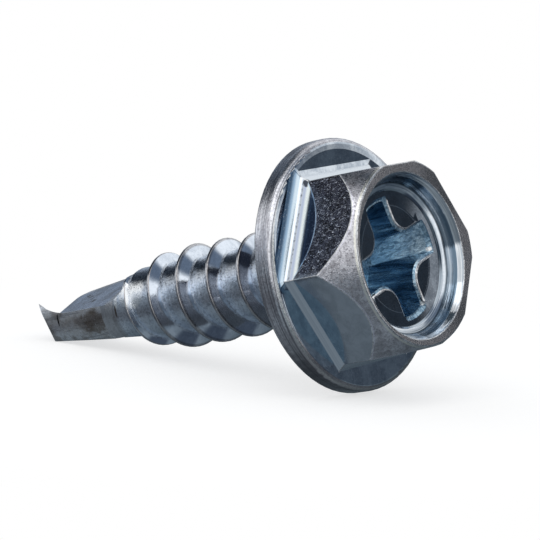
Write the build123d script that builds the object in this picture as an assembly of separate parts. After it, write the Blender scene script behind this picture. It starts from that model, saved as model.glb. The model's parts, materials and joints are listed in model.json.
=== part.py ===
"""Hexagon washer head self-drilling screw with a cross recess, lying as it comes to rest.

The screw is first built along its own axis: Z runs from the drill point to the head, and
Z = 0 is the bearing face under the flange. It is then laid down on its flange and its drill
point, with +Z up, the head towards +X, and the origin under the middle of its bounding box.
"""
import os
from math import acos, atan2, ceil, cos, hypot, radians, sin, tan

from build123d import *

# ---- driving dimensions, in millimetres and degrees ----

# flange
FLANGE_DIAMETER = 11.05
FLANGE_OFFSET = 0.15            # formed this far off the axis
FLANGE_OFFSET_TURN = 146.0      # in this direction, from +X
FLANGE_RIM_HEIGHT = 0.98        # bearing face to the flange's upper face
FLANGE_UPPER_EDGE = 0.30        # rounding of the rim's upper edge
FLANGE_LOWER_EDGE = 0.10        # 45-degree bevel of the rim's lower edge
FLANGE_SEAM_TURN = -177.95      # its faces close here, well away from where it rests
BEARING_FLARE = 0.15            # 45-degree flare where the shank meets the bearing face

# hexagon
HEX_ACROSS_FLATS = 7.9
HEAD_HEIGHT = 4.2               # bearing face to the top of the head
HEX_FOOT_BEVEL = 0.26           # 45-degree bevel round the foot of the flats
TOP_LAND = 0.42                 # mean width of the flat ring between the hollow and the top bevel
TOP_BEVEL_ANGLE = 26.0          # of the conical bevel on the top corners, from the axis
TOP_BEVEL_OFFSET = 0.28         # the bevel is formed this far off the axis
TOP_BEVEL_OFFSET_TURN = 111.0   # in this direction, from +X

# stepped hollow in the top of the head
HOLLOW_DIAMETER = 7.16
HOLLOW_BEVEL_WIDTH = 0.14
HOLLOW_BEVEL_DEPTH = 0.25
HOLLOW_WALL_WIDTH = 0.20
STEP_DEPTH = 0.70               # top of the head to the step's outer edge
STEP_WIDTH = 0.22
STEP_FALL = 0.09                # the step leans in towards the floor
FLOOR_DIAMETER = 5.82
HOLLOW_DEPTH = 0.945
FLOOR_FLAT_DIAMETER = 4.74      # inside it the floor is flat, outside it rises
FLOOR_RISE = 0.07

# cross recess in the floor of the hollow
CROSS_DIAMETER = 5.16           # over the wing tips, at the floor
CROSS_WING_WIDTH = 1.34
CROSS_LAND_RADIUS = 0.95        # rounding of the four lands
CROSS_DEPTH = 2.4
CROSS_TIP_ANGLE = 26.5          # slope of the wing ends, from the axis
CROSS_SIDE_DRAFT = 5.0
CROSS_EDGE_BEVEL = 0.12
CROSS_TURN = 15.2               # wings against the hexagon

# thread
THREAD_DIAMETER = 4.65          # over the crests, where the ridge has grown
THREAD_DIAMETER_AT_HEAD = 4.46  # over the crests, where it runs into the flange
THREAD_ROOT_DIAMETER = 3.38
THREAD_PITCH = 1.81
THREAD_CREST_WIDTH = 0.12
THREAD_FLANK_ANGLE = 30.0
THREAD_PHASE = 0.40             # height of a crest in the +X direction
THREAD_START = 12.1             # bearing face to where the thread begins, near the point
THREAD_RUN_IN = 3.4             # length over which it grows to its full height
THREAD_FIRST_RIDGE = 0.02       # height of the ridge where it begins

# drill point
POINT_LENGTH = 16.95            # bearing face to the chisel edge
DRILL_DIAMETER = 3.62
DRILL_OFFSET = 0.08             # formed this far off the axis, towards -X
DRILL_SHOULDER = 12.6           # bearing face to the end of the drill's full diameter
DRILL_SHOULDER_LENGTH = 0.6
POINT_ANGLE = 176.0             # between the two end faces at the chisel edge
NEAR_END_FLAT = 0.30            # the near wing's end face runs straight this far from it,
NEAR_END_RADIUS = 1.85          # and then curves back
FAR_END_FLAT = 1.3              # the far wing's runs straight nearly to the rim,
FAR_END_RADIUS = 0.4            # which is rounded
END_SWEEP = 75.0                # each curve turns through this angle
POINT_RELIEF_TURN = -70.0       # direction in which the near wing's end falls back
LIP_HEIGHT = 0.26               # the wing's leading edge stands this far past the axis
HOOK_LENGTH = 2.3               # stretch of the leading edge that curls forward
HOOK_RADIUS = 2.85
HOOK_SWEEP = 75.0               # the curl turns through this angle
HOOK_FALL = 42.0                # the curled edge falls away inwards at this angle
WEB_THICKNESS = 0.53            # at the heel of the point
WEB_TAPER = 7.2                 # slope of the flute's back wall, from the axis
FLUTE_BACK_TURN = 21.5          # of the flute's back wall, from square to the leading wall
FLUTE_END_RADIUS = 1.6

# ---- sizes that follow ----
flange_radius = FLANGE_DIAMETER / 2
root_radius = THREAD_ROOT_DIAMETER / 2
crest_radius = THREAD_DIAMETER / 2
crest_radius_at_head = THREAD_DIAMETER_AT_HEAD / 2
drill_radius = DRILL_DIAMETER / 2
hollow_radius = HOLLOW_DIAMETER / 2
floor_radius = FLOOR_DIAMETER / 2
floor_level = HEAD_HEIGHT - HOLLOW_DEPTH
EMBED = 0.12                    # how far the thread's ridge reaches into the core
CLEAR = 1.0                     # how far a cutter stands past what it cuts
TOUCH = 0.01                    # two places closer than this are the same
SECTIONS_PER_TURN = 2           # of the thread's ridge
REST_ROUNDS = 8                 # of working out the resting plane
UPRIGHT = (Align.CENTER, Align.CENTER, Align.MIN)


def aside(distance, turn):
    """The place that lies a distance off the screw's axis, in a direction counted from +X."""
    return Pos(distance * cos(radians(turn)), distance * sin(radians(turn)), 0)


def turned(points):
    """A solid turned about the screw's axis from an outline of (radius, height) points."""
    outline = make_face(Polyline(*[(r, 0, z) for r, z in points], close=True))
    return revolve(outline, Axis.Z, 360)


def flange():
    disc = Cylinder(flange_radius, FLANGE_RIM_HEIGHT, align=UPRIGHT)
    disc = fillet(disc.edges().group_by(Axis.Z)[-1], FLANGE_UPPER_EDGE)
    disc = chamfer(disc.edges().group_by(Axis.Z)[0], FLANGE_LOWER_EDGE)
    return aside(FLANGE_OFFSET, FLANGE_OFFSET_TURN) * Rot(0, 0, FLANGE_SEAM_TURN) * disc


def hexagon_head():
    """The hexagon with a bevelled foot, its top corners cut off by a steep cone."""
    across_corners = HEX_ACROSS_FLATS / cos(radians(30))
    flats = RegularPolygon(across_corners / 2, 6, rotation=30)
    prism = extrude(flats, HEAD_HEIGHT)
    foot = Pos(0, 0, FLANGE_RIM_HEIGHT) * RegularPolygon(
        across_corners / 2 + HEX_FOOT_BEVEL / cos(radians(30)), 6, rotation=30)
    prism += extrude(foot, HEX_FOOT_BEVEL, taper=45)
    land_radius = hollow_radius + TOP_LAND
    base_radius = land_radius + HEAD_HEIGHT * tan(radians(TOP_BEVEL_ANGLE))
    bevel_cone = Cone(base_radius, land_radius, HEAD_HEIGHT, align=UPRIGHT)
    return prism & (aside(TOP_BEVEL_OFFSET, TOP_BEVEL_OFFSET_TURN) * bevel_cone)


def hollow():
    """The cutter for the stepped hollow, from its floor up through the top of the head."""
    wall_radius = hollow_radius - HOLLOW_BEVEL_WIDTH
    step_radius = wall_radius - HOLLOW_WALL_WIDTH
    return turned([
        (0, floor_level),
        (FLOOR_FLAT_DIAMETER / 2, floor_level),
        (floor_radius, floor_level + FLOOR_RISE),
        (step_radius - STEP_WIDTH, HEAD_HEIGHT - STEP_DEPTH - STEP_FALL),
        (step_radius, HEAD_HEIGHT - STEP_DEPTH),
        (wall_radius, HEAD_HEIGHT - HOLLOW_BEVEL_DEPTH),
        (hollow_radius, HEAD_HEIGHT),
        (hollow_radius, HEAD_HEIGHT + CLEAR),
        (0, HEAD_HEIGHT + CLEAR),
    ])


def cross_recess():
    """The cutter for the four-winged recess: drafted wings with ends that slope inwards."""
    tip = CROSS_DIAMETER / 2
    reach = tip + CLEAR
    wings = Rectangle(2 * reach, CROSS_WING_WIDTH) + Rectangle(CROSS_WING_WIDTH, 2 * reach)
    land_corners = [v for v in wings.vertices() if hypot(v.X, v.Y) < CROSS_WING_WIDTH]
    wings = fillet(land_corners, CROSS_LAND_RADIUS)
    cross = extrude(wings, -CROSS_DEPTH, taper=CROSS_SIDE_DRAFT)
    bottom = tip - CROSS_DEPTH * tan(radians(CROSS_TIP_ANGLE))
    ends = turned([(0, -CROSS_DEPTH), (bottom, -CROSS_DEPTH), (tip, 0), (0, 0)])
    mouth = offset(wings & Circle(tip), CROSS_EDGE_BEVEL)
    bevel = extrude(mouth, -CROSS_EDGE_BEVEL, taper=45) + extrude(mouth, CLEAR)
    return Pos(0, 0, floor_level) * Rot(0, 0, CROSS_TURN) * ((cross & ends) + bevel)


def core():
    """The plain shank that the thread winds round."""
    length = THREAD_START + FLANGE_RIM_HEIGHT / 2
    return Pos(0, 0, -THREAD_START) * Cylinder(root_radius, length, align=UPRIGHT)


def flare():
    """The short cone by which the shank widens into the bearing face."""
    height = BEARING_FLARE + FLANGE_RIM_HEIGHT / 2
    return Pos(0, 0, -BEARING_FLARE) * Cone(root_radius, root_radius + height, height, align=UPRIGHT)


def crest_turn(z):
    """The direction, in degrees from +X, in which the thread's crest lies at a height."""
    return 360 * (z - THREAD_PHASE) / THREAD_PITCH


def thread_section(ridge, z):
    """The ridge's outline at a height, standing in the plane that holds the screw's axis."""
    turn = radians(crest_turn(z))
    across = Plane(origin=(0, 0, z), x_dir=(cos(turn), sin(turn), 0), z_dir=(sin(turn), -cos(turn), 0))
    foot = root_radius - EMBED
    tip = root_radius + ridge
    half_crest = THREAD_CREST_WIDTH / 2
    half_foot = half_crest + (ridge + EMBED) * tan(radians(THREAD_FLANK_ANGLE))
    corners = [(foot, -half_foot), (tip, -half_crest), (tip, half_crest), (foot, half_foot)]
    return across * make_face(Polyline(*corners, close=True))


def ridge_height(z):
    """How far the thread's crest stands out of the core at a height."""
    full = crest_radius - root_radius
    grown = -THREAD_START + THREAD_RUN_IN
    if z < grown:
        share = (z + THREAD_START) / THREAD_RUN_IN
        return THREAD_FIRST_RIDGE + share * (full - THREAD_FIRST_RIDGE)
    at_head = crest_radius_at_head - root_radius
    return full + (z - grown) / -grown * (at_head - full)


def thread():
    """The helical ridge, growing from a hair near the drill point to its full height."""
    bottom = -THREAD_START
    top = FLANGE_RIM_HEIGHT / 2
    count = ceil((top - bottom) / THREAD_PITCH * SECTIONS_PER_TURN)
    heights = [bottom + (top - bottom) * i / count for i in range(count + 1)]
    sections = [thread_section(ridge_height(z), z) for z in heights]
    winding = Helix(THREAD_PITCH, top - bottom, root_radius)
    path = Pos(0, 0, bottom) * Rot(0, 0, crest_turn(bottom)) * winding
    return sweep(sections, path=path, multisection=True, is_frenet=True)


def drill_blank():
    """The drill's full-diameter cylinder with a conical shoulder down to the thread's core."""
    shoulder_top = -DRILL_SHOULDER + DRILL_SHOULDER_LENGTH
    return turned([
        (0, -POINT_LENGTH - CLEAR),
        (drill_radius, -POINT_LENGTH - CLEAR),
        (drill_radius, -DRILL_SHOULDER),
        (root_radius, shoulder_top),
        (0, shoulder_top),
    ])


def end_face(flat_length, radius):
    """The outline of one end face: straight from the chisel edge, curving back, then steep."""
    slope = radians(90 - POINT_ANGLE / 2)
    flat_end = (flat_length, -POINT_LENGTH + flat_length * tan(slope))
    centre = (flat_end[0] - radius * sin(slope), flat_end[1] + radius * cos(slope))
    flat = Line((0, -POINT_LENGTH), flat_end)
    curve = CenterArc(centre, radius, -POINT_ANGLE / 2, END_SWEEP)
    steep = Line(curve @ 1, (curve @ 1) + (curve % 1) * CLEAR)
    return flat, curve, steep


def point_roof():
    """The space below the two end faces, which meet at the chisel edge."""
    reach = 2 * drill_radius
    below = -POINT_LENGTH - 2 * CLEAR
    near = end_face(NEAR_END_FLAT, NEAR_END_RADIUS)
    far = [mirror(line, Plane.YZ) for line in end_face(FAR_END_FLAT, FAR_END_RADIUS)]
    near_eaves = near[-1] @ 1
    far_eaves = far[-1] @ 1
    around = Polyline(near_eaves, (reach, near_eaves.Y), (reach, below), (-reach, below),
                      (-reach, far_eaves.Y), far_eaves)
    roof = extrude(Plane.XZ * make_face([*near, around, *far]), reach, both=True)
    return Rot(0, 0, POINT_RELIEF_TURN) * roof


def over_hook():
    """The space over the near wing's curled edge, which falls away from the rim inwards."""
    reach = 2 * drill_radius
    rim_height = -LIP_HEIGHT - HOOK_RADIUS
    hook_start = -POINT_LENGTH + HOOK_LENGTH
    curl = CenterArc((rim_height, hook_start), HOOK_RADIUS, 0, -HOOK_SWEEP)
    wall = Line((-LIP_HEIGHT, CLEAR), curl @ 0)
    far = 4 * reach
    around = Polyline(curl @ 1, (-far, -POINT_LENGTH - 2 * CLEAR), (-far, CLEAR), wall @ 0)
    outline = Pos(0, -drill_radius, 0) * (Plane.XZ * make_face([wall, curl, around]))
    inwards = (sin(radians(HOOK_FALL)), cos(radians(HOOK_FALL)), 0)
    return extrude(outline, far, dir=inwards) + extrude(outline, -reach, dir=inwards)


def flute():
    """The cutter for the near flute: over the leading wall and in front of the back wall."""
    reach = 2 * drill_radius
    end = CenterArc((-LIP_HEIGHT - FLUTE_END_RADIUS, -DRILL_SHOULDER), FLUTE_END_RADIUS, 90, -90)
    below = -POINT_LENGTH - 2 * CLEAR
    around = Polyline(end @ 1, (-LIP_HEIGHT, below), (-reach, below), (-reach, (end @ 0).Y), end @ 0)
    over_leading_wall = extrude(Plane.XZ * make_face([end, around]), reach, both=True)
    turn = radians(FLUTE_BACK_TURN)
    tilt = radians(WEB_TAPER)
    normal = (cos(turn) * cos(tilt), sin(turn) * cos(tilt), sin(tilt))
    web_side = (-WEB_THICKNESS / 2 * cos(turn), -WEB_THICKNESS / 2 * sin(turn), -POINT_LENGTH)
    back = Plane(origin=web_side, x_dir=(-sin(turn), cos(turn), 0), z_dir=normal)
    far = 4 * reach
    in_front = extrude(back * Rectangle(2 * far, 2 * far), -far)
    return over_leading_wall & over_hook() & in_front


def screw_along_axis():
    drill_place = aside(DRILL_OFFSET, 180)
    drill = drill_place * (drill_blank() - point_roof())
    near_flute = drill_place * flute()
    far_flute = drill_place * Rot(0, 0, 180) * flute()
    shank = core() + thread() + flare() + drill - near_flute - far_flute
    head = flange() + hexagon_head() - hollow() - cross_recess()
    return head + shank


def resting_corners(screw):
    """The outer corners of the drill's end that lie furthest towards +X, one from each wing."""
    rim = [v for v in screw.vertices()
           if v.Z < -DRILL_SHOULDER and abs(hypot(v.X + DRILL_OFFSET, v.Y) - drill_radius) < TOUCH]
    near = max([v for v in rim if v.Y < 0], key=lambda v: v.X)
    far = max([v for v in rim if v.Y > 0], key=lambda v: v.X)
    return near, far


def resting_plane(screw):
    """The plane under the screw, through both corners and the lowest place on the flange's rim.

    Its normal is found as a turn about the screw's axis, counted from +X, and a tilt of the
    axis. Each is worked out from the other, and a few rounds settle both.
    """
    one, two = resting_corners(screw)
    apart = hypot(two.X - one.X, two.Y - one.Y)
    square = atan2(two.Y - one.Y, two.X - one.X)
    middle = aside(FLANGE_OFFSET, FLANGE_OFFSET_TURN).position
    tilt = 0
    for _ in range(REST_ROUNDS):
        turn = square - acos((two.Z - one.Z) * tan(tilt) / apart)
        fall = flange_radius - (one.X - middle.X) * cos(turn) - (one.Y - middle.Y) * sin(turn)
        tilt = atan2(fall, FLANGE_LOWER_EDGE - one.Z)
    up = Vector(-cos(turn) * cos(tilt), -sin(turn) * cos(tilt), sin(tilt))
    along = Vector(cos(turn) * sin(tilt), sin(turn) * sin(tilt), cos(tilt))
    return Plane(origin=(0, 0, 0), x_dir=along, z_dir=up)


def lying(screw):
    """The screw on its resting plane, the origin under the middle of its bounding box."""
    turned_over = screw.moved(resting_plane(screw).location.inverse())
    box = turned_over.bounding_box()
    return turned_over.moved(Location((-box.center().X, -box.center().Y, -box.min.Z)))


if __name__ == "__main__":
    os.makedirs("parts", exist_ok=True)
    screw = lying(screw_along_axis())
    screw.label = "screw"
    print("volume", round(screw.volume, 2), "solids", len(screw.solids()), "valid", screw.is_valid)
    print("box", screw.bounding_box())
    export_step(screw, "parts/screw.step")
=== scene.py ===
"""Finishes and studio for a hexagon washer head self-drilling screw.

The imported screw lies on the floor. Its own axes are read from its mounts: U is square to a
pair of the hexagon's flats and points down, W runs from the drill point to the head, and
the middle of the bearing face under the flange is the place (0, 0, 0), in millimetres.
"""
import json
import math

import bmesh
import bpy
from bpy.props import FloatProperty, FloatVectorProperty, PointerProperty
from bpy.types import Operator, Panel, PropertyGroup
from mathutils import Matrix, Vector


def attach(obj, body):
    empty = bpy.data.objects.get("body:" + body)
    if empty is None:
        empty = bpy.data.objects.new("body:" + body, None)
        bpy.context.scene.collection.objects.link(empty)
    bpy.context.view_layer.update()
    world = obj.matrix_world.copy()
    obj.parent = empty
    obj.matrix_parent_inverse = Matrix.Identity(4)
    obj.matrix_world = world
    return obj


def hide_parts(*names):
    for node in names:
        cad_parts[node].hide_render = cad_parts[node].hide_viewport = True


bl_info = {
    "name": "Self-drilling screw",
    "version": (1, 0, 0),
    "blender": (4, 5, 0),
    "location": "3D View > Sidebar > Screw",
    "description": "Dresses the packed screw in plated steel and sets up its studio",
    "category": "Object",
}

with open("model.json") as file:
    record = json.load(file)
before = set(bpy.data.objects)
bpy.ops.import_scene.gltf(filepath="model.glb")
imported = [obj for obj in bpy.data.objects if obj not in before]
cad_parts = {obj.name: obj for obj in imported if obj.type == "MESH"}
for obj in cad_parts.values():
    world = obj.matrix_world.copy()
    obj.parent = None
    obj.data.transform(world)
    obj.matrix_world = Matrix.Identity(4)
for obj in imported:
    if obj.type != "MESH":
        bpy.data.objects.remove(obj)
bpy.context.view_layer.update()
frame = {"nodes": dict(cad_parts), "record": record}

MM = 0.001
THREAD_MOUNT_HEIGHT = -6.0      # mm from the bearing face, along W

mounts = {mount["name"]: mount for mount in frame["record"]["mounts"]}
W_AXIS = -Vector(mounts["thread"]["axis"]).normalized()
U_AXIS = -Vector(mounts["hexagon"]["axis"]).normalized()
V_AXIS = W_AXIS.cross(U_AXIS).normalized()
ORIGIN = Vector(mounts["thread"]["pos_m"]) - W_AXIS * THREAD_MOUNT_HEIGHT * MM
AXES = Matrix((U_AXIS, V_AXIS, W_AXIS)).transposed()

# forms of the screw that its finish follows: heights along W and radii, in mm
FLANGE_TOP = 0.98
HEX_APOTHEM = 3.95
FOOT_HEIGHT = 0.26              # of the bevel round the foot of the flats, and its width
FOOT_REACH = 4.95               # the foot bevel's corners lie inside this radius
HEAD_TOP = 4.2
HOLLOW_RADIUS = 3.58
FLOOR_LEVEL = 3.255             # of the hollow's floor, round the cross recess
FLOOR_RISE = 0.07               # it rises this much towards its rim
FLOOR_RADIUS = 2.91
RECESS_REACH = 2.7              # over the tips of the cross and the bevel round its edge
RECESS_DEPTH = 2.4
ROOT_RADIUS = 1.69
CREST_RADIUS = 2.325
SHANK_TOP = -0.02               # faces below this are the shank's
FLUTE_TOP = -11.0               # the drill's flutes run out in the thread, below this
DRILL_TOP = -12.3               # edges below this are the drill's
POINT_TOP = -12.55              # and faces below this have its finish
DRILL_REACH = 2.0               # the drill and its flutes lie inside this radius
NEAR = 0.01                     # places closer than this are on one level

# the part along W of a face's normal
FACES_UP = 0.9                  # at least this where it lies flat
FACES_OUT = 0.1                 # at most this where it runs along W
FOOT_SLOPE = (0.6, 0.8)         # between these on the foot bevel, at 45 degrees

ROUGH_SIDE = -150               # degrees from U to the corner between the two pitted flats
OPPOSITE_FLAT = (0.413, 0.420)  # turns from U, either way, over which the flat opposite it begins

SAME_PLACE = 0.012 * MM         # corners of the mesh closer than this are one
SHARP_TURN = math.radians(4.5)  # two faces of the solid meet in an edge past this angle
BEVEL_TURN = math.radians(20)   # and the edge is worn round past this one

ZONES = ("flange_face", "flange_rim", "flat", "foot_bevel", "top_bevel", "hollow", "recess_floor",
         "recess_wall", "thread", "drill_point", "worn_edge")
PLANE_ZONES = ("flange_face", "flat", "foot_bevel")


def rgb(red, green, blue):
    return (red, green, blue, 1.0)


WHITE = rgb(1.0, 1.0, 1.0)
DIRT = rgb(0.12, 0.12, 0.14)            # in the pits of worn metal
RIM_DARK_LINE = rgb(0.06, 0.065, 0.08)         # dark lines round the rim
DARK_PIT = rgb(0.004, 0.004, 0.006)     # in the pitted flats


def to_own(point):
    """A place of the row frame, in metres, in the screw's own axes and in mm."""
    return AXES.transposed() @ (Vector(point) - ORIGIN) / MM


def sideways(degrees):
    """The direction square to W at an angle from U towards V."""
    angle = math.radians(degrees)
    return (math.cos(angle), math.sin(angle), 0.0)


# ---- node helpers ----

class Nodes:
    """Adds nodes to a tree. Values may be numbers, colours or the sockets of other nodes."""

    def __init__(self, tree):
        self.tree = tree

    def add(self, kind, values=None, **settings):
        node = self.tree.nodes.new(kind)
        for name, value in settings.items():
            setattr(node, name, value)
        for name, value in (values or {}).items():
            self.set(node.inputs[name], value)
        return node

    def set(self, socket, value):
        if isinstance(value, bpy.types.NodeSocket):
            self.tree.links.new(value, socket)
        elif value is not None:
            socket.default_value = value

    def use(self, name, values=None):
        """The outputs of a node that places a shader node group."""
        node = self.tree.nodes.new("ShaderNodeGroup")
        node.node_tree = bpy.data.node_groups[name]
        for label, value in (values or {}).items():
            self.set(node.inputs[label], value)
        return node.outputs

    def math(self, operation, *values, clamp=False):
        node = self.tree.nodes.new("ShaderNodeMath")
        node.operation = operation
        node.use_clamp = clamp
        for socket, value in zip(node.inputs, values):
            self.set(socket, value)
        return node.outputs[0]

    def times(self, one, other):
        return self.math("MULTIPLY", one, other)

    def plus(self, one, other):
        return self.math("ADD", one, other)

    def vector(self, operation, *values):
        node = self.tree.nodes.new("ShaderNodeVectorMath")
        node.operation = operation
        for socket, value in zip(node.inputs, values):
            self.set(socket, value)
        return node.outputs["Value" if operation in ("DOT_PRODUCT", "LENGTH") else "Vector"]

    def scaled(self, vector, scale):
        node = self.add("ShaderNodeVectorMath", {"Vector": vector, "Scale": scale}, operation="SCALE")
        return node.outputs["Vector"]

    def join(self, x, y, z):
        return self.add("ShaderNodeCombineXYZ", {"X": x, "Y": y, "Z": z}).outputs[0]

    def ramp(self, value, low, high, start=0.0, end=1.0):
        """A smooth change from start to end while value goes from low to high."""
        node = self.add("ShaderNodeMapRange", {"Value": value, "From Min": low, "From Max": high,
                                               "To Min": start, "To Max": end},
                        interpolation_type="SMOOTHSTEP")
        return node.outputs["Result"]

    def band(self, value, low, high, soft):
        """One inside a stretch of values and nought outside it, with soft ends."""
        rise = self.ramp(value, low - soft, low + soft)
        fall = self.ramp(value, high - soft, high + soft, 1.0, 0.0)
        return self.times(rise, fall)

    def mix(self, factor, one, other, blend="MIX"):
        """Colours mixed by a factor."""
        node = self.tree.nodes.new("ShaderNodeMix")
        node.data_type = "RGBA"
        node.blend_type = blend
        self.set(node.inputs["Factor"], factor)
        colours = [socket for socket in node.inputs if socket.type == "RGBA"]
        for socket, value in zip(colours, (one, other)):
            self.set(socket, value)
        return [socket for socket in node.outputs if socket.type == "RGBA"][0]

    def noise(self, place, scale, detail=3.0, rough=0.55, distortion=0.0):
        node = self.add("ShaderNodeTexNoise", {"Vector": place, "Scale": scale, "Detail": detail,
                                               "Roughness": rough, "Distortion": distortion})
        return node.outputs["Fac"]


# ---- effects that the zones share ----

def new_group(name, inputs, outputs):
    """An empty shader node group: the helper for its tree, what it is given and what it puts out."""
    tree = bpy.data.node_groups.new(name, "ShaderNodeTree")
    for label, kind, default in inputs:
        socket = tree.interface.new_socket(label, in_out="INPUT", socket_type=kind)
        if default is not None:
            socket.default_value = default
    for label, kind in outputs:
        tree.interface.new_socket(label, in_out="OUTPUT", socket_type=kind)
    source = tree.nodes.new("NodeGroupInput")
    sink = tree.nodes.new("NodeGroupOutput")
    return Nodes(tree), source.outputs, sink.inputs


def place_group():
    """Where a point lies on the screw, in mm: its place, its height along the axis, its radius,
    its direction round the axis in turns, how far out it lies towards the nearest flat and towards
    the corner between the two pitted flats, and a mask of the flat opposite U."""
    nodes, _, out = new_group("screw_place", [], [
        ("Place", "NodeSocketVector"), ("Height", "NodeSocketFloat"), ("Radius", "NodeSocketFloat"),
        ("Turn", "NodeSocketFloat"), ("Flat", "NodeSocketFloat"), ("Side", "NodeSocketFloat"),
        ("Opposite", "NodeSocketFloat")])
    turn_back = AXES.transposed()
    mapping = nodes.add("ShaderNodeMapping", {
        "Vector": nodes.add("ShaderNodeTexCoord").outputs["Object"],
        "Scale": (1 / MM,) * 3,
        "Rotation": turn_back.to_euler("XYZ"),
        "Location": -(turn_back @ ORIGIN) / MM,
    }, vector_type="POINT")
    place = mapping.outputs["Vector"]
    u, v, w = nodes.add("ShaderNodeSeparateXYZ", {"Vector": place}).outputs
    turn = nodes.math("DIVIDE", nodes.math("ARCTAN2", v, u), 2 * math.pi)
    flats = [nodes.math("ABSOLUTE", nodes.vector("DOT_PRODUCT", place, sideways(degrees)))
             for degrees in (0, 60, -60)]
    farthest = nodes.math("MAXIMUM", nodes.math("MAXIMUM", flats[0], flats[1]), flats[2])
    nodes.set(out["Place"], place)
    nodes.set(out["Height"], w)
    nodes.set(out["Radius"], nodes.math("SQRT", nodes.plus(nodes.times(u, u), nodes.times(v, v))))
    nodes.set(out["Turn"], turn)
    nodes.set(out["Flat"], farthest)
    nodes.set(out["Side"], nodes.vector("DOT_PRODUCT", place, sideways(ROUGH_SIDE)))
    nodes.set(out["Opposite"], nodes.ramp(nodes.math("ABSOLUTE", turn), *OPPOSITE_FLAT))


def plating_group():
    """Zinc plating: cloudy changes of colour and gloss."""
    nodes, given, out = new_group("zinc_plating", [
        ("Place", "NodeSocketVector", None), ("Bright", "NodeSocketColor", rgb(0.7, 0.75, 0.8)),
        ("Dull", "NodeSocketColor", rgb(0.4, 0.44, 0.5)), ("Scale", "NodeSocketFloat", 1.0),
        ("Gloss", "NodeSocketFloat", 0.2), ("Cloud", "NodeSocketFloat", 0.15)],
        [("Color", "NodeSocketColor"), ("Roughness", "NodeSocketFloat")])
    place = nodes.scaled(given["Place"], given["Scale"])
    broad = nodes.noise(place, 0.9, detail=4.0, rough=0.6, distortion=0.4)
    fine = nodes.noise(place, 6.5, detail=5.0, rough=0.65)
    clouds = nodes.ramp(nodes.plus(nodes.times(broad, 0.65), nodes.times(fine, 0.35)), 0.38, 0.62)
    nodes.set(out["Color"], nodes.mix(clouds, given["Bright"], given["Dull"]))
    nodes.set(out["Roughness"], nodes.math("MULTIPLY_ADD", clouds, given["Cloud"], given["Gloss"]))


def pits_group():
    """Pitted metal: a height for bumps, a mask of dark pits and one of tiny bright flecks."""
    nodes, given, out = new_group("pitted_metal", [
        ("Place", "NodeSocketVector", None), ("Scale", "NodeSocketFloat", 6.0)],
        [("Height", "NodeSocketFloat"), ("Pits", "NodeSocketFloat"), ("Flecks", "NodeSocketFloat")])
    place = nodes.scaled(given["Place"], given["Scale"])
    coarse = nodes.noise(place, 1.0, detail=5.0, rough=0.75, distortion=0.3)
    fine = nodes.noise(place, 2.6, detail=2.0, rough=0.6)
    nodes.set(out["Height"], nodes.plus(nodes.times(coarse, 0.7), nodes.times(fine, 0.3)))
    nodes.set(out["Pits"], nodes.ramp(coarse, 0.50, 0.60))
    nodes.set(out["Flecks"], nodes.ramp(fine, 0.60, 0.68))


def rings_group():
    """Marks of forming that run round the axis: a height and a mask of streaks."""
    nodes, given, out = new_group("forming_rings", [
        ("Height", "NodeSocketFloat", 0.0), ("Radius", "NodeSocketFloat", 1.0),
        ("Turn", "NodeSocketFloat", 0.0), ("Fineness", "NodeSocketFloat", 10.0),
        ("Length", "NodeSocketFloat", 6.0)],
        [("Height", "NodeSocketFloat"), ("Mask", "NodeSocketFloat")])
    place = nodes.join(nodes.times(given["Height"], given["Fineness"]),
                       nodes.times(given["Radius"], given["Fineness"]),
                       nodes.times(given["Turn"], given["Length"]))
    streaks = nodes.noise(place, 1.0, rough=0.6)
    nodes.set(out["Height"], streaks)
    nodes.set(out["Mask"], nodes.ramp(streaks, 0.42, 0.62))


def patch_group():
    """A patch with a broken outline round a centre: one in its middle and nought outside it."""
    nodes, given, out = new_group("broken_patch", [
        ("Place", "NodeSocketVector", None), ("Centre", "NodeSocketVector", None),
        ("Size", "NodeSocketFloat", 0.5), ("Stretch", "NodeSocketVector", (1.0, 1.0, 1.0)),
        ("Broken", "NodeSocketFloat", 0.5)],
        [("Mask", "NodeSocketFloat")])
    away = nodes.vector("SUBTRACT", given["Place"], given["Centre"])
    away = nodes.vector("LENGTH", nodes.vector("MULTIPLY", away, given["Stretch"]))
    uneven = nodes.plus(nodes.noise(given["Place"], 3.5, detail=4.0, rough=0.65), -0.5)
    swing = nodes.times(nodes.times(given["Size"], 2.0), given["Broken"])
    distance = nodes.plus(away, nodes.times(uneven, swing))
    full = nodes.times(given["Size"], 0.7)
    nodes.set(out["Mask"], nodes.ramp(distance, full, given["Size"], 1.0, 0.0))


# ---- settings ----

SENSOR_WIDTH = 36       # mm
FOCAL_LENGTH = 2500     # in pixels of a picture
PICTURE_WIDTH = 540     # this many pixels wide


class ScrewFinish(PropertyGroup):
    bright_zinc: FloatVectorProperty(
        name="Bright zinc",
        description="Colour of clean plating on the flange's face and on the foot bevel",
        subtype="COLOR", size=3, default=(0.68, 0.73, 0.79), min=0, max=1)
    dull_zinc: FloatVectorProperty(
        name="Dull zinc", description="Colour of clouded plating on the flange's face",
        subtype="COLOR", size=3, default=(0.38, 0.43, 0.50), min=0, max=1)
    edge_width: FloatProperty(
        name="Edge width", description="Width of the worn edges", default=0.06 * MM,
        min=0, unit="LENGTH", precision=5)


class ScrewStudio(PropertyGroup):
    lens: FloatProperty(
        name="Lens", description="Focal length on a 36 mm sensor",
        default=SENSOR_WIDTH * FOCAL_LENGTH / PICTURE_WIDTH, min=20, max=400)
    key_strength: FloatProperty(
        name="Key light", description="Power of the soft light overhead", default=0.02,
        min=0, unit="POWER")
    floor_colour: FloatVectorProperty(
        name="Floor", description="Colour of the floor", subtype="COLOR", size=3,
        default=(0.86, 0.86, 0.86), min=0, max=1)


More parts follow.
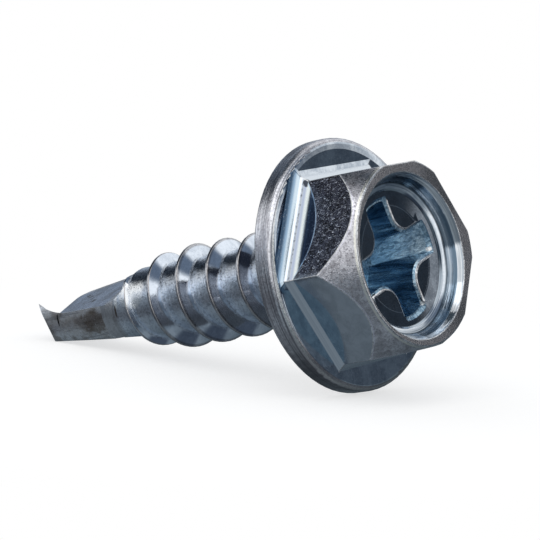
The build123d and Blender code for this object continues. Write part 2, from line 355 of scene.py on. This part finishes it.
def zinc_colours():
    """The colours of clean and of clouded plating that the settings give."""
    settings = bpy.context.scene.screw_finish
    return (*settings.bright_zinc, 1.0), (*settings.dull_zinc, 1.0)


# ---- finishes of the zones ----

class Metal(Nodes):
    """A material of plated metal. Other colours are laid over its plating, one over the other."""

    def __init__(self, name, bright, dull, gloss, cloud, scale=1.0):
        self.material = bpy.data.materials.new(name)
        self.material.use_nodes = True
        super().__init__(self.material.node_tree)
        self.where = self.use("screw_place")
        plating = self.use("zinc_plating", {
            "Place": self.where["Place"], "Bright": bright, "Dull": dull,
            "Scale": scale, "Gloss": gloss, "Cloud": cloud})
        self.colour = plating["Color"]
        self.roughness = plating["Roughness"]

    def lay(self, mask, strength, colour):
        """Lays a colour over the metal where the mask is one, as strongly as given."""
        self.colour = self.mix(self.times(mask, strength), self.colour, colour)

    def stretched(self, stretch):
        """Places on the screw, with a factor on each axis: a small one draws a pattern out."""
        return self.vector("MULTIPLY", self.where["Place"], stretch)

    def pits(self, scale, stretch=None):
        place = self.stretched(stretch) if stretch else self.where["Place"]
        return self.use("pitted_metal", {"Place": place, "Scale": scale})

    def rings(self, fineness, length):
        return self.use("forming_rings", {
            "Height": self.where["Height"], "Radius": self.where["Radius"],
            "Turn": self.where["Turn"], "Fineness": fineness, "Length": length})

    def patch(self, centre, size, stretch=(1.0, 1.0, 1.0), broken=0.5):
        return self.use("broken_patch", {
            "Place": self.where["Place"], "Centre": centre, "Size": size,
            "Stretch": stretch, "Broken": broken})["Mask"]

    def rough_side(self, low, high):
        """A mask of the side with the two pitted flats, which rises between two distances."""
        return self.ramp(self.where["Side"], low, high)

    def not_opposite(self):
        """One everywhere but by the flat opposite U, the upper of the two pitted ones."""
        return self.math("SUBTRACT", 1.0, self.where["Opposite"])

    def darken_corner(self):
        """Blackens the foot of the corner between the two pitted flats."""
        corner = self.patch((-3.87, -2.34, 1.28), 0.27, stretch=(1.3, 1.3, 0.8), broken=0.9)
        self.lay(corner, 0.9, rgb(0.02, 0.024, 0.035))

    def finish(self, height, depth=1.0):
        """The finished material, with bumps whose heights are in units of a depth in mm."""
        bump = self.add("ShaderNodeBump", {"Height": height, "Strength": 1.0, "Distance": depth * MM})
        shader = self.tree.nodes["Principled BSDF"].inputs
        self.set(shader["Metallic"], 1.0)
        self.set(shader["Base Color"], self.colour)
        self.set(shader["Roughness"], self.roughness)
        self.set(shader["Normal"], bump.outputs["Normal"])
        return self.material


def flange_face_material():
    metal = Metal("flange_face", *zinc_colours(), gloss=0.05, cloud=0.04)
    flat = metal.where["Flat"]
    pits = metal.pits(8.0)
    # by the two pitted flats the hexagon rises out of the flange in a hollow curve, which is
    # wide by the lower one and steep by the upper one
    reach, wider = 4.44, 0.42
    lower_slope, upper_slope = 0.36, 0.7
    near_half = metal.math("LESS_THAN", metal.where["Turn"], 0.0)
    by_lower = metal.times(metal.rough_side(1.9, 2.4), near_half)
    by_lower = metal.times(by_lower, metal.not_opposite())
    by_upper = metal.where["Opposite"]
    curve_start = metal.math("MULTIPLY_ADD", by_lower, wider, reach)
    into_curve = metal.math("SUBTRACT", curve_start, flat, clamp=True)
    slope = metal.plus(metal.times(by_lower, lower_slope), metal.times(by_upper, upper_slope))
    curve = metal.times(into_curve, slope)
    # the flange's face falls away towards the rim
    fall_start, fall_slope = 5.13, -0.30
    outer = metal.math("SUBTRACT", metal.where["Radius"], fall_start, clamp=True)
    height = metal.plus(curve, metal.times(outer, fall_slope))
    # painted reflection: the curve by the lower one is dark blue where it starts, pale blue by the
    # hexagon
    blue = metal.mix(metal.ramp(flat, 4.72, 4.50), rgb(0.05, 0.09, 0.15), rgb(0.30, 0.43, 0.58))
    blue = metal.mix(metal.ramp(flat, 4.52, 4.36), blue, rgb(0.68, 0.80, 0.90))
    metal.lay(by_lower, metal.ramp(flat, 5.05, 4.95), blue)
    metal.lay(pits["Flecks"], 0.25, rgb(0.80, 0.84, 0.88))
    metal.darken_corner()
    grain = metal.times(metal.plus(pits["Height"], -0.5), 0.0015)
    return metal.finish(metal.plus(height, grain))


def flange_rim_material():
    metal = Metal("flange_rim", rgb(0.90, 0.91, 0.96), rgb(0.66, 0.65, 0.69),
                  gloss=0.14, cloud=0.12, scale=1.4)
    high = metal.where["Height"]
    radius = metal.where["Radius"]
    pits = metal.pits(9.0)
    rings = metal.rings(fineness=16.0, length=10.0)
    metal.lay(rings["Mask"], 0.55, rgb(0.20, 0.20, 0.24))
    metal.lay(pits["Flecks"], 0.5, WHITE)
    # painted highlight: a pale band runs along part of the rounding of its upper edge
    metal.lay(metal.band(radius, 5.24, 5.33, 0.02), 0.7, rgb(0.92, 0.93, 0.90))
    # away from the pitted flats it is brown, and opposite U painted shade darkens it low down
    metal.lay(metal.ramp(metal.where["Side"], -1.5, 2.0, 1.0, 0.0), 0.6, rgb(0.34, 0.30, 0.29))
    metal.lay(pits["Pits"], 0.3, DIRT)
    opposite = metal.ramp(metal.math("ABSOLUTE", metal.where["Turn"]), 0.425, 0.450)
    painted_low_shade = metal.times(metal.ramp(high, 0.66, 0.52), opposite)
    metal.lay(painted_low_shade, 0.85, rgb(0.09, 0.095, 0.13))
    # one dark line runs along its upper edge and one round its side, and the second wavers
    metal.lay(metal.band(radius, 5.35, 5.38, 0.012), 0.7, RIM_DARK_LINE)
    wavering = metal.plus(high, metal.times(rings["Height"], 0.12))
    metal.lay(metal.band(wavering, 0.60, 0.63, 0.012), 0.65, RIM_DARK_LINE)
    return metal.finish(metal.plus(rings["Height"], metal.times(pits["Height"], 0.7)), depth=0.018)


def flat_material():
    metal = Metal("flat", rgb(0.56, 0.60, 0.66), rgb(0.44, 0.48, 0.53),
                  gloss=0.14, cloud=0.08, scale=1.6)
    high = metal.where["Height"]
    pits = metal.pits(4.6, (1.2, 1.2, 0.75))
    # above a curved line near the foot the metal is worn, below it the plating is whole
    line = metal.plus(high, metal.times(metal.plus(metal.where["Radius"], -HEX_APOTHEM), 1.39))
    above = metal.ramp(line, 2.02, 2.08)
    side = metal.rough_side(2.2, 2.4)
    uneven_side = metal.plus(metal.where["Side"], metal.times(pits["Height"], 0.3))
    rough = metal.times(above, metal.ramp(uneven_side, 2.2, 2.6))
    # on the pitted side the plating below the line is painted light near the foot and dark with shade
    # higher up
    painted_light_and_shade = metal.mix(metal.ramp(high, 1.36, 1.52), rgb(0.80, 0.85, 0.84), rgb(0.045, 0.065, 0.105))
    whole = metal.mix(side, rgb(0.42, 0.56, 0.66), painted_light_and_shade)
    metal.colour = metal.mix(above, whole, metal.colour)
    metal.lay(metal.times(pits["Flecks"], side), 0.3, rgb(0.5, 0.6, 0.75))
    metal.lay(metal.band(line, 1.99, 2.04, 0.02), side, rgb(0.50, 0.62, 0.76))
    # the two pitted flats are nearly black above it, mottled and full of painted glints
    mottled = metal.noise(metal.where["Place"], 3.2, detail=6.0, rough=0.8, distortion=0.6)
    dark = metal.mix(metal.ramp(mottled, 0.42, 0.66), rgb(0.06, 0.065, 0.09), DARK_PIT)
    dark = metal.mix(metal.times(pits["Pits"], 0.8), dark, DARK_PIT)
    drawn_out = metal.stretched((1.0, 1.0, 0.55))
    painted_glints = metal.noise(drawn_out, 13.0, detail=5.0, rough=0.8, distortion=1.2)
    dark = metal.mix(metal.ramp(painted_glints, 0.55, 0.65, 0.0, 0.95), dark, rgb(0.84, 0.88, 1.0))
    metal.colour = metal.mix(rough, metal.colour, dark)
    metal.roughness = metal.plus(metal.roughness, metal.times(rough, 0.06))
    # near its foot a pitted flat curves out into the bevel
    curve_top, curve_height, curve_depth = 1.55, 0.31, 0.06
    foot = metal.math("SUBTRACT", curve_top, high)
    foot = metal.math("DIVIDE", foot, curve_height, clamp=True)
    curve = metal.times(metal.times(foot, foot), metal.times(side, curve_depth))
    grain = metal.times(metal.plus(pits["Height"], -0.5), metal.plus(metal.times(rough, 0.05), 0.002))
    return metal.finish(metal.plus(curve, grain))


def foot_bevel_material():
    bright, _ = zinc_colours()
    metal = Metal("foot_bevel", bright, bright, gloss=0.08, cloud=0.04)
    # how far across the bevel: minus one at the flat and one at its outer edge
    half_width = FOOT_HEIGHT / 2
    across = metal.plus(metal.where["Flat"], -HEX_APOTHEM - half_width)
    across = metal.math("DIVIDE", across, half_width)
    by_lower = metal.times(metal.rough_side(2.2, 2.4), metal.not_opposite())
    pits = metal.pits(7.0)
    # by the lower pitted flat a groove runs along it, painted dark with shade spotted by the pits,
    # and a lavender strip of painted reflection lies above
    groove = metal.times(metal.band(across, -0.15, 0.35, 0.15), by_lower)
    dirt_and_shade = metal.times(groove, metal.math("MULTIPLY_ADD", pits["Pits"], 0.6, 0.4))
    metal.lay(dirt_and_shade, 0.9, rgb(0.10, 0.11, 0.15))
    reflection_strip = metal.times(metal.band(across, -0.75, -0.2, 0.12), by_lower)
    metal.lay(reflection_strip, 0.8, rgb(0.44, 0.50, 0.66))
    streaks = metal.noise(metal.join(metal.times(across, 1.6), metal.where["Turn"], 0.0), 2.0)
    metal.lay(metal.ramp(streaks, 0.5, 0.62), 0.3, rgb(0.42, 0.47, 0.53))
    metal.darken_corner()
    hollow = metal.math("MULTIPLY_ADD", by_lower, -0.8, -0.2)
    return metal.finish(metal.times(metal.times(across, across), hollow), depth=0.012)


def top_bevel_material():
    metal = Metal("top_bevel", rgb(0.76, 0.75, 0.80), rgb(0.42, 0.41, 0.44),
                  gloss=0.2, cloud=0.12, scale=2.0)
    high = metal.where["Height"]
    turn = metal.where["Turn"]
    pits = metal.pits(10.0)
    dirt_and_shade = metal.math("MULTIPLY_ADD", metal.rough_side(1.2, 2.2), 0.33, 0.42)
    metal.lay(pits["Pits"], dirt_and_shade, rgb(0.12, 0.11, 0.13))
    # the ring on top of the head is duller, and painted dark with shade in two stretches
    ring = metal.ramp(high, 4.17, 4.19)
    metal.lay(ring, 0.7, rgb(0.30, 0.28, 0.28))
    painted_shade_stretches = metal.plus(metal.band(turn, 0.31, 0.42, 0.03), metal.band(turn, 0.08, 0.15, 0.04))
    metal.lay(metal.times(ring, painted_shade_stretches), 0.6, rgb(0.07, 0.08, 0.09))
    # the bevel has a bright band under the ring and another where it meets the flats
    metal.lay(metal.band(high, 4.07, 4.16, 0.02), 0.7, rgb(0.98, 0.96, 0.86))
    metal.lay(metal.band(metal.where["Flat"], 3.915, 3.94, 0.012), 0.6, rgb(0.86, 0.84, 0.98))
    metal.lay(pits["Flecks"], 0.5, rgb(0.86, 0.88, 0.94))
    return metal.finish(pits["Height"], depth=0.012)


def hollow_material():
    metal = Metal("hollow", rgb(0.84, 0.88, 0.93), rgb(0.66, 0.72, 0.80),
                  gloss=0.05, cloud=0.03, scale=1.5)
    high = metal.where["Height"]
    rings = metal.rings(fineness=6.0, length=5.0)
    # its wall is painted dark blue with shade, and painted highlights give a bright lip above it and
    # a pale line low down on it
    depth = metal.ramp(high, 3.62, 3.84, 0.6, 0.93)
    metal.lay(metal.band(high, 3.52, 3.935, 0.015), depth, rgb(0.12, 0.19, 0.27))
    metal.lay(metal.band(high, 3.95, 4.12, 0.02), 0.8, rgb(0.96, 0.98, 1.0))
    metal.lay(metal.band(high, 3.62, 3.67, 0.02), 0.5, rgb(0.70, 0.76, 0.82))
    # painted shade makes the corners of the step and of the floor nearly black, and the wall between
    # them dim
    step_corner_shade = metal.band(high, 3.485, 3.535, 0.012)
    floor_corner_shade = metal.band(metal.where["Radius"], 2.87, 2.93, 0.015)
    metal.lay(metal.plus(step_corner_shade, floor_corner_shade), 0.85, rgb(0.03, 0.05, 0.07))
    metal.lay(metal.band(high, 3.345, 3.40, 0.01), 0.6, rgb(0.24, 0.30, 0.36))
    metal.lay(rings["Mask"], 0.45, rgb(0.10, 0.15, 0.20))
    return metal.finish(rings["Height"], depth=0.012)


def recess_floor_material():
    # the plating is painted dark with the shade at the bottom of the hollow
    metal = Metal("recess_floor", rgb(0.22, 0.25, 0.29), rgb(0.13, 0.15, 0.18),
                  gloss=0.08, cloud=0.06, scale=1.5)
    pits = metal.pits(9.0)
    # painted highlight: a pale line runs round it, just inside the place where it starts to rise
    metal.lay(metal.band(metal.where["Radius"], 2.28, 2.31, 0.012), 0.7, rgb(0.75, 0.78, 0.82))
    metal.lay(pits["Flecks"], 0.3, rgb(0.7, 0.74, 0.8))
    return metal.finish(pits["Height"], depth=0.002)


def recess_wall_material():
    metal = Metal("recess_wall", rgb(0.60, 0.75, 0.85), rgb(0.30, 0.46, 0.60),
                  gloss=0.12, cloud=0.08, scale=1.6)
    # the punch has drawn fine lines down the walls, and two places on them have painted glints
    streaks = metal.noise(metal.stretched((9.0, 9.0, 0.8)), 1.0, detail=4.0, rough=0.6)
    metal.lay(metal.ramp(streaks, 0.45, 0.62), 0.75, rgb(0.10, 0.20, 0.30))
    for centre in ((-0.10, 2.56, 3.16), (2.10, 1.32, 3.16)):
        metal.lay(metal.patch(centre, 0.20, stretch=(1.8, 0.8, 1.5), broken=0.3), 1.0, WHITE)
    return metal.finish(streaks, depth=0.015)


def thread_material():
    metal = Metal("thread", rgb(0.80, 0.86, 0.95), rgb(0.60, 0.66, 0.75),
                  gloss=0.06, cloud=0.05, scale=1.2)
    radius = metal.where["Radius"]
    pits = metal.pits(9.0)
    rings = metal.rings(fineness=8.0, length=8.0)
    # the core is spotted with dark pits, and painted shade darkens a band along its upper side, which
    # also has bright flecks
    core = metal.ramp(radius, ROOT_RADIUS + 0.05, ROOT_RADIUS + 0.12, 1.0, 0.0)
    upper_side_shade = metal.band(metal.where["Turn"], -0.43, -0.315, 0.025)
    pits_and_shade = metal.math("MULTIPLY_ADD", upper_side_shade, 0.45, metal.times(pits["Pits"], 0.35))
    metal.lay(core, pits_and_shade, rgb(0.012, 0.014, 0.02))
    metal.lay(metal.times(core, upper_side_shade), pits["Flecks"], rgb(0.92, 0.95, 1.0))
    # one patch near the drill is a painted highlight, nearly white, and nearer to the point the metal
    # is dull with age
    clean_and_highlight = metal.patch((-0.65, -1.6, -10.75), 0.85, broken=0.3)
    unpitted = metal.math("SUBTRACT", 1.0, metal.times(pits["Pits"], 0.6))
    metal.lay(metal.times(clean_and_highlight, unpitted), 0.9, rgb(0.98, 0.99, 1.0))
    metal.lay(metal.ramp(metal.where["Height"], -11.65, -12.0), 0.6, rgb(0.42, 0.39, 0.37))
    # a bright strip and a rusty one lie where the near flute runs out
    bright_strip = metal.patch((-0.40, -1.65, -11.74), 0.42, stretch=(1, 1, 4.0), broken=0.4)
    metal.lay(bright_strip, 0.9, WHITE)
    rusty_strip = metal.patch((0.05, -1.69, -11.80), 0.34, stretch=(1, 1, 5.0), broken=0.35)
    metal.lay(rusty_strip, 0.85, rgb(0.12, 0.08, 0.05))
    # the crest is rubbed dull, with dirt in its pits
    crest = metal.ramp(radius, CREST_RADIUS - 0.16, CREST_RADIUS - 0.10)
    metal.lay(crest, 0.75, metal.mix(pits["Pits"], rgb(0.42, 0.41, 0.42), DIRT))
    metal.roughness = metal.plus(metal.roughness, metal.times(core, 0.05))
    grain = metal.times(metal.plus(pits["Height"], -0.5), metal.plus(metal.times(core, 0.6), 0.06))
    rolled = metal.times(metal.plus(rings["Height"], -0.5), metal.times(core, 0.5))
    return metal.finish(metal.plus(grain, rolled), depth=0.02)


def drill_point_material():
    metal = Metal("drill_point", rgb(0.95, 0.96, 1.0), rgb(0.72, 0.70, 0.69),
                  gloss=0.24, cloud=0.1, scale=1.4)
    pits = metal.pits(7.0)
    # the wings' backs are brown with age and the flutes' walls are clean and blue
    wing = metal.ramp(metal.where["Radius"], 1.60, 1.70)
    clean_and_highlight = metal.mix(1.0, metal.colour, rgb(0.50, 0.58, 0.70), "MULTIPLY")
    metal.colour = metal.mix(wing, clean_and_highlight, metal.colour)
    aged = metal.noise(metal.where["Place"], 1.1, detail=4.0, rough=0.6)
    metal.lay(metal.times(metal.ramp(aged, 0.46, 0.62), wing), 0.7, rgb(0.36, 0.31, 0.28))
    streaks = metal.noise(metal.stretched((7.0, 7.0, 0.7)), 1.0, rough=0.6)
    metal.lay(metal.ramp(streaks, 0.5, 0.62), 0.45, rgb(0.22, 0.22, 0.24))
    # a wing has a brown stain and a black scratch, and a flute a row of black marks
    black = rgb(0.015, 0.013, 0.012)
    stain = metal.patch((0.28, -1.75, -13.15), 0.66, stretch=(1, 1, 0.8), broken=0.7)
    metal.lay(stain, 0.7, rgb(0.20, 0.15, 0.11))
    metal.lay(metal.patch((-0.05, -1.8, -15.42), 0.34, stretch=(1, 1, 6.0), broken=0.3), 1.0, black)
    marks = ((-0.86, 0.85, -15.7), (-0.80, 0.55, -15.3), (-0.74, 0.18, -14.9), (-0.62, -0.24, -14.4))
    for centre in marks:
        metal.lay(metal.patch(centre, 0.13, stretch=(1, 1, 0.7), broken=0.8), 0.9, black)
    metal.lay(pits["Pits"], 0.25, rgb(0.10, 0.10, 0.11))
    metal.lay(pits["Flecks"], 0.4, WHITE)
    return metal.finish(pits["Height"], depth=0.01)


def worn_edge_material():
    metal = Metal("worn_edge", rgb(0.92, 0.93, 0.95), rgb(0.55, 0.54, 0.55),
                  gloss=0.16, cloud=0.12, scale=3.0)
    pits = metal.pits(10.0)
    # the thread's crest is duller than the head's edges
    metal.lay(metal.ramp(metal.where["Height"], -0.3, -0.6), 0.75, rgb(0.34, 0.32, 0.32))
    metal.lay(pits["Pits"], 0.5, DIRT)
    return metal.finish(pits["Height"], depth=0.006)


ZONE_MATERIALS = {
    "flange_face": flange_face_material, "flange_rim": flange_rim_material, "flat": flat_material,
    "foot_bevel": foot_bevel_material, "top_bevel": top_bevel_material, "hollow": hollow_material,
    "recess_floor": recess_floor_material, "recess_wall": recess_wall_material,
    "thread": thread_material, "drill_point": drill_point_material,
    "worn_edge": worn_edge_material,
}


# ---- the piece ----

def zone_of(centre, normal):
    """The zone of the screw that a face of the mesh belongs to, by its centre and normal."""
    radius = math.hypot(centre.x, centre.y)
    if centre.z < POINT_TOP:
        return "drill_point"
    if centre.z < SHANK_TOP:
        return "thread"
    if radius < HOLLOW_RADIUS + NEAR and centre.z > FLOOR_LEVEL - RECESS_DEPTH - NEAR:
        if centre.z < FLOOR_LEVEL - NEAR and radius < FLOOR_RADIUS:
            return "recess_wall"
        if centre.z < FLOOR_LEVEL + FLOOR_RISE + NEAR and normal.z > FACES_UP:
            return "recess_floor"
        if FLOOR_LEVEL < centre.z < HEAD_TOP - NEAR and normal.z > FACES_OUT:
            return "hollow"
    slopes = FOOT_SLOPE[0] < normal.z < FOOT_SLOPE[1]
    if slopes and centre.z < FLANGE_TOP + FOOT_HEIGHT + NEAR and radius < FOOT_REACH:
        return "foot_bevel"
    if abs(centre.z - FLANGE_TOP) < NEAR:
        return "flange_face"
    if centre.z < FLANGE_TOP:
        return "flange_rim"
    if abs(normal.z) < FACES_OUT:
        return "flat"
    return "top_bevel"


def wear_of(middle):
    """How worn a sharp edge is, by its middle: one is as wide as the worn edges get."""
    away = math.hypot(middle.x, middle.y)
    on_top = middle.z > HEAD_TOP - NEAR and away > HOLLOW_RADIUS + NEAR
    by_recess = abs(middle.z - FLOOR_LEVEL) < NEAR and away < RECESS_REACH
    in_hollow = away < FLOOR_RADIUS + NEAR and middle.z > 0
    by_flute = middle.z < FLUTE_TOP and away < DRILL_REACH
    if on_top or by_recess:
        return 1.0
    if in_hollow or by_flute or middle.z < DRILL_TOP:
        return 0.0
    return 0.5


def merge_and_mark(mesh):
    """Merges the seams of the solid's mesh, and marks its sharp edges, their wear and its zones."""
    solid = bmesh.new()
    solid.from_mesh(mesh)
    wear = solid.edges.layers.float.new("bevel_weight_edge")
    border = solid.edges.layers.int.new("border")
    for edge in solid.edges:
        edge[border] = edge.is_boundary
    bmesh.ops.remove_doubles(solid, verts=solid.verts, dist=SAME_PLACE)
    solid.normal_update()
    for edge in solid.edges:
        turn = edge.calc_face_angle(0)
        edge.smooth = not (edge[border] and turn > SHARP_TURN)
        if turn > BEVEL_TURN and not edge.smooth and edge.is_convex:
            edge[wear] = wear_of(to_own((edge.verts[0].co + edge.verts[1].co) / 2))
    for face in solid.faces:
        zone = zone_of(to_own(face.calc_center_median()), AXES.transposed() @ face.normal)
        face.material_index = ZONES.index(zone)
        face.smooth = zone not in PLANE_ZONES
    solid.to_mesh(mesh)
    solid.free()


class SCREW_OT_body(Operator):
    """Makes the screw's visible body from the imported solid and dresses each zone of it"""
    bl_idname = "screw.body"
    bl_label = "Dress the screw"

    def execute(self, context):
        mesh = frame["nodes"]["screw"].data.copy()
        mesh.name = "plated_screw"
        piece = bpy.data.objects.new("plated_screw", mesh)
        context.scene.collection.objects.link(piece)
        mesh.materials.clear()
        merge_and_mark(mesh)
        for zone in ZONES:
            mesh.materials.append(ZONE_MATERIALS[zone]())
        bevel = piece.modifiers.new("worn_edges", "BEVEL")
        bevel.width = context.scene.screw_finish.edge_width
        bevel.segments = 2
        bevel.limit_method = "WEIGHT"
        bevel.use_clamp_overlap = False
        bevel.harden_normals = True
        bevel.material = ZONES.index("worn_edge")
        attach(piece, "root")
        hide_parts("screw")
        return {"FINISHED"}


# ---- studio ----

# the camera's right, down and forward directions, in the screw's own axes
VIEW_RIGHT = Vector((0.19463691, 0.62743321, 0.75395228))
VIEW_DOWN = Vector((0.98078221, -0.13508394, -0.14077849))
VIEW_FORWARD = Vector((0.01351774, 0.76686368, -0.64166765))
# how far right, down and forward of the camera the bearing face's middle is, in mm
VIEW_OFFSET = Vector((2.884, -0.016, 108.07))
CLIP_START = 0.01               # m
CLIP_END = 10

FLOOR_REACH = 2.0               # m from the floor's middle to each side
SHADOW_LIFT = 0.36              # light on the shadow that only the camera sees
SHADOW_WHITE = 0.45             # and the share of plain white in it, by the screw
SHADOW_FADE = (0.012, 0.03)     # m from the floor's middle, over which it fades to plain white

LAMP_SIZE = 0.12                # m
LAMP_DISTANCE = 0.16            # m from the floor's middle
LAMP_DIRECTION = (-0.1, 0.9, -0.5)

BRIGHT = rgb(0.97, 0.99, 1.0)

# soft fields that the metal mirrors: directions as seen from the camera (right, up, away), the
# half-angles in degrees inside which they are full and outside which they are gone, and colours
FIELDS = (
    ((0.5, 0.7, 0.5), 22, 36, BRIGHT),
    ((-0.78, 0.55, 0.3), 16, 28, rgb(0.03, 0.04, 0.055)),
    ((0.97, 0.14, 0.18), 20, 31, rgb(0.07, 0.09, 0.115)),
    ((0.97, 0.23, -0.08), 10, 14, BRIGHT),
    ((0.68, 0.72, -0.15), 11, 20, rgb(0.14, 0.18, 0.24)),
    ((-0.10, 0.99, 0.04), 15, 25, rgb(0.04, 0.055, 0.07)),
    ((0.10, 0.40, 0.91), 14, 26, rgb(0.45, 0.49, 0.55)),
    ((-0.26, 0.30, 0.92), 8, 16, rgb(0.32, 0.37, 0.44)),
    ((0.60, 0.10, -0.79), 12, 25, rgb(0.07, 0.10, 0.13)),
    ((0.76, -0.55, -0.27), 12, 20, rgb(0.055, 0.07, 0.095)),
)


def view_direction(right, up, away):
    """A direction given as seen from the camera, in the row frame."""
    own = VIEW_RIGHT * right - VIEW_DOWN * up + VIEW_FORWARD * away
    return (AXES @ own).normalized()


def make_camera(scene, studio):
    right, down, forward = (AXES @ axis for axis in (VIEW_RIGHT, VIEW_DOWN, VIEW_FORWARD))
    rotation = Matrix((right, -down, -forward)).transposed().to_4x4()
    offset = VIEW_RIGHT * VIEW_OFFSET.x + VIEW_DOWN * VIEW_OFFSET.y + VIEW_FORWARD * VIEW_OFFSET.z
    data = bpy.data.cameras.new("camera")
    data.sensor_width = SENSOR_WIDTH
    data.lens = studio.lens
    data.clip_start = CLIP_START
    data.clip_end = CLIP_END
    camera = bpy.data.objects.new("camera", data)
    camera.matrix_world = Matrix.Translation(ORIGIN - AXES @ offset * MM) @ rotation
    scene.collection.objects.link(camera)
    scene.camera = camera


def make_floor(scene, studio):
    mesh = bpy.data.meshes.new("floor")
    signs = ((-1, -1), (1, -1), (1, 1), (-1, 1))
    corners = [(x * FLOOR_REACH, y * FLOOR_REACH, 0) for x, y in signs]
    mesh.from_pydata(corners, [], [(0, 1, 2, 3)])
    floor = bpy.data.objects.new("floor", mesh)
    scene.collection.objects.link(floor)
    material = bpy.data.materials.new("floor")
    material.use_nodes = True
    material.node_tree.nodes.clear()
    nodes = Nodes(material.node_tree)
    rays = nodes.add("ShaderNodeLightPath").outputs
    pale = nodes.add("ShaderNodeBsdfDiffuse", {"Color": (*studio.floor_colour, 1.0)}).outputs[0]
    # the metal mirrors the world below the horizon in place of the floor
    clear = nodes.add("ShaderNodeBsdfTransparent").outputs[0]
    both = nodes.add("ShaderNodeMixShader", {0: rays["Is Glossy Ray"], 1: pale, 2: clear}).outputs[0]
    # the camera sees the shadow by the screw, and plain white further out
    lift = nodes.times(rays["Is Camera Ray"], SHADOW_LIFT)
    glow = nodes.add("ShaderNodeEmission", {"Color": WHITE, "Strength": lift}).outputs[0]
    lit = nodes.add("ShaderNodeAddShader", {0: both, 1: glow}).outputs[0]
    white = nodes.add("ShaderNodeEmission", {"Color": WHITE, "Strength": 1.0}).outputs[0]
    away = nodes.vector("LENGTH", nodes.add("ShaderNodeTexCoord").outputs["Object"])
    share = nodes.ramp(away, *SHADOW_FADE, SHADOW_WHITE, 1.0)
    seen_white = nodes.times(rays["Is Camera Ray"], share)
    total = nodes.add("ShaderNodeMixShader", {0: seen_white, 1: lit, 2: white}).outputs[0]
    nodes.add("ShaderNodeOutputMaterial", {"Surface": total})
    mesh.materials.append(material)


def mirrored_colour(nodes):
    """What the metal mirrors in each direction: a sky, the ground, soft fields and a window."""
    direction = nodes.add("ShaderNodeTexCoord").outputs["Generated"]
    ahead = nodes.vector("DOT_PRODUCT", direction, tuple(view_direction(0, 0, 1)))
    leftward = nodes.vector("DOT_PRODUCT", direction, tuple(view_direction(-1, 0, 0)))
    height = nodes.vector("DOT_PRODUCT", direction, (0.0, 0.0, 1.0))
    sky = nodes.mix(nodes.ramp(ahead, -0.15, 0.25, 1.0, 0.0), rgb(0.08, 0.10, 0.13), BRIGHT)
    ground = nodes.mix(nodes.ramp(ahead, -0.2, 0.7), rgb(0.19, 0.225, 0.255), rgb(0.09, 0.115, 0.135))
    colour = nodes.mix(nodes.ramp(height, -0.10, 0.0), ground, sky)
    for centre, inner, outer, field in FIELDS:
        nearness = nodes.vector("DOT_PRODUCT", direction, tuple(view_direction(*centre)))
        mask = nodes.ramp(nearness, math.cos(math.radians(outer)), math.cos(math.radians(inner)))
        colour = nodes.mix(mask, colour, field)
    # the window on the left is dim below the horizon and bright high up
    window = nodes.mix(nodes.ramp(height, -0.45, 0.0), rgb(0.095, 0.105, 0.12), rgb(0.19, 0.22, 0.25))
    window = nodes.mix(nodes.ramp(height, 0.07, 0.18), window, rgb(0.60, 0.66, 0.74))
    window = nodes.mix(nodes.ramp(height, 0.18, 0.42), window, BRIGHT)
    return nodes.mix(nodes.ramp(leftward, 0.70, 0.85), colour, window)


def make_world(scene):
    world = bpy.data.worlds.new("studio")
    world.use_nodes = True
    world.node_tree.nodes.clear()
    nodes = Nodes(world.node_tree)

    def background(colour, strength):
        return nodes.add("ShaderNodeBackground", {"Color": colour, "Strength": strength}).outputs[0]

    def switch(ray, other, this):
        mixed = nodes.add("ShaderNodeMixShader", {0: rays[ray], 1: other, 2: this})
        return mixed.outputs[0]

    rays = nodes.add("ShaderNodeLightPath").outputs
    even = background(rgb(0.96, 0.98, 1.0), 0.75)
    light = switch("Is Glossy Ray", even, background(mirrored_colour(nodes), 1.0))
    total = switch("Is Camera Ray", light, background(WHITE, 1.0))
    nodes.add("ShaderNodeOutputWorld", {"Surface": total})
    scene.world = world


def make_lamp(scene, studio):
    data = bpy.data.lights.new("key", "AREA")
    data.shape = "DISK"
    data.size = LAMP_SIZE
    data.energy = studio.key_strength
    lamp = bpy.data.objects.new("key", data)
    place = view_direction(*LAMP_DIRECTION) * LAMP_DISTANCE
    lamp.location = place
    lamp.rotation_euler = place.to_track_quat("Z", "Y").to_euler()
    scene.collection.objects.link(lamp)


class SCREW_OT_studio(Operator):
    """Sets up the floor, the light and the camera"""
    bl_idname = "screw.studio"
    bl_label = "Set up the studio"

    def execute(self, context):
        scene = context.scene
        make_floor(scene, scene.screw_studio)
        make_world(scene)
        make_lamp(scene, scene.screw_studio)
        make_camera(scene, scene.screw_studio)
        scene.view_settings.view_transform = "Standard"
        return {"FINISHED"}


class SCREW_PT_sidebar(Panel):
    bl_label = "Self-drilling screw"
    bl_space_type = "VIEW_3D"
    bl_region_type = "UI"
    bl_category = "Screw"

    def draw(self, context):
        layout = self.layout
        for group in (context.scene.screw_finish, context.scene.screw_studio):
            for name in group.__annotations__:
                layout.prop(group, name)
        for step in STEPS:
            layout.operator(step.bl_idname)


STEPS = (SCREW_OT_body, SCREW_OT_studio)
CLASSES = (ScrewFinish, ScrewStudio) + STEPS + (SCREW_PT_sidebar,)


def register():
    for cls in CLASSES:
        bpy.utils.register_class(cls)
    bpy.types.Scene.screw_finish = PointerProperty(type=ScrewFinish)
    bpy.types.Scene.screw_studio = PointerProperty(type=ScrewStudio)


def unregister():
    del bpy.types.Scene.screw_studio
    del bpy.types.Scene.screw_finish
    for cls in reversed(CLASSES):
        bpy.utils.unregister_class(cls)


def main():
    register()
    place_group()
    plating_group()
    pits_group()
    rings_group()
    patch_group()
    bpy.ops.screw.body()
    bpy.ops.screw.studio()


if __name__ == "__main__":
    main()
